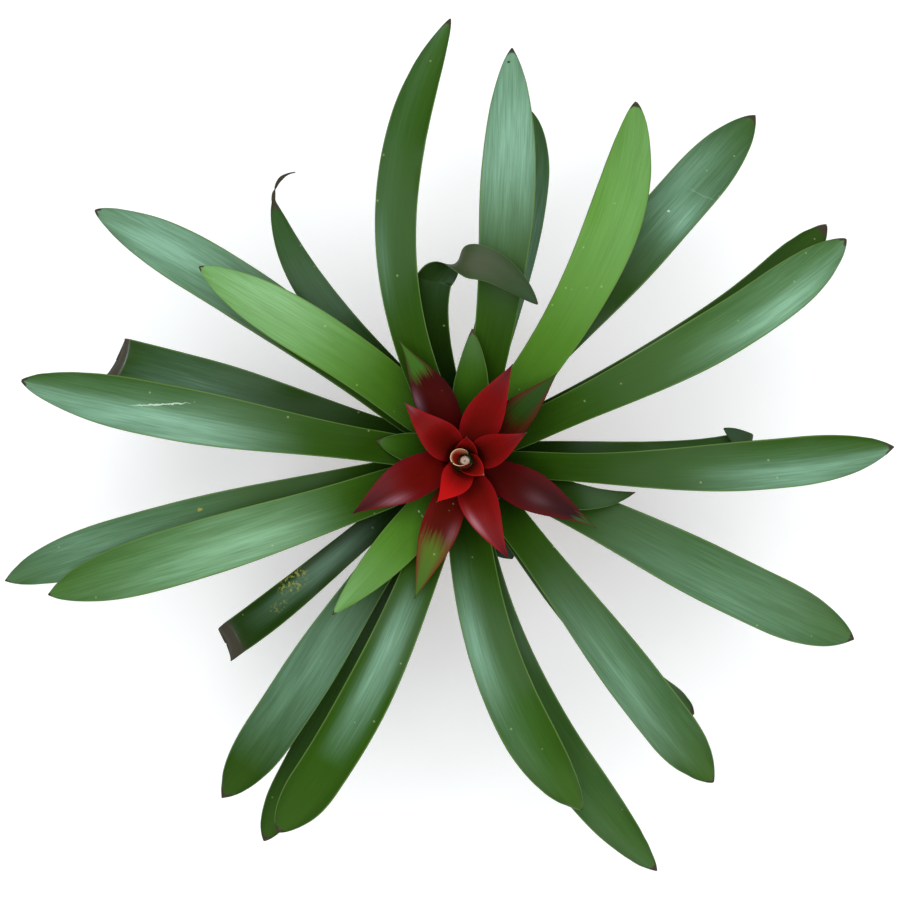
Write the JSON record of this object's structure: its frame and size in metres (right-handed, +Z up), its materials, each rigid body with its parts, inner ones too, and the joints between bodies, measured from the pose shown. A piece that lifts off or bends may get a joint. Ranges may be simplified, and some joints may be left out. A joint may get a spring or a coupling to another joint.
{
  "type": "potted bromeliad",
  "caption": "Rosette houseplant with long arching strap leaves, short green leaves and a star of red bracts round a small bud, in soil in a round tapered pot.",
  "frame": {"origin": "middle of the pot's flat underside, on the surface it stands on", "axes": "+Z up along the stem; seen from above +X is the plant's right and -Y its front"},
  "size_m": [0.6038, 0.5901, 0.2651],
  "materials": {
    "pot": "matt moulded nursery pot, terracotta brown",
    "soil": "dark crumbly bark and peat potting mix",
    "stem": "pale green smooth plant stem",
    "leaf": "smooth leathery green leaf with fine lengthwise veins and a blue-green sheen",
    "bract": "smooth glossy red to maroon bract",
    "bud": "satin cream bud"
  },
  "bodies": {
    "root": {"pot": "pot", "soil": "soil", "stem": "stem", "bud": "bud", "leaf_01": "leaf", "leaf_02": "leaf", "leaf_03": "leaf", "leaf_04": "leaf", "leaf_05": "leaf", "leaf_06": "leaf", "leaf_07": "leaf", "leaf_08": "leaf", "leaf_09": "leaf", "leaf_10": "leaf", "leaf_11": "leaf", "leaf_12": "leaf", "leaf_13": "leaf", "leaf_14": "leaf", "leaf_15": "leaf", "leaf_16": "leaf", "leaf_17": "leaf", "leaf_18": "leaf", "leaf_19": "leaf", "leaf_20": "leaf", "leaf_21": "leaf", "leaf_22": "leaf", "leaf_23": "leaf", "leaf_24": "leaf", "leaf_25": "leaf", "leaf_26": "leaf", "short_leaf_1": "leaf", "short_leaf_2": "leaf", "short_leaf_3": "leaf", "short_leaf_4": "leaf", "short_leaf_5": "leaf", "cup_bract_1": "bract", "cup_bract_2": "bract", "cup_bract_3": "bract", "bract_01": "bract", "bract_02": "bract", "bract_03": "bract", "bract_04": "bract", "bract_05": "bract", "bract_06": "bract", "bract_07": "bract", "bract_08": "bract", "bract_09": "bract", "bract_10": "bract"}
  },
  "joints": []
}
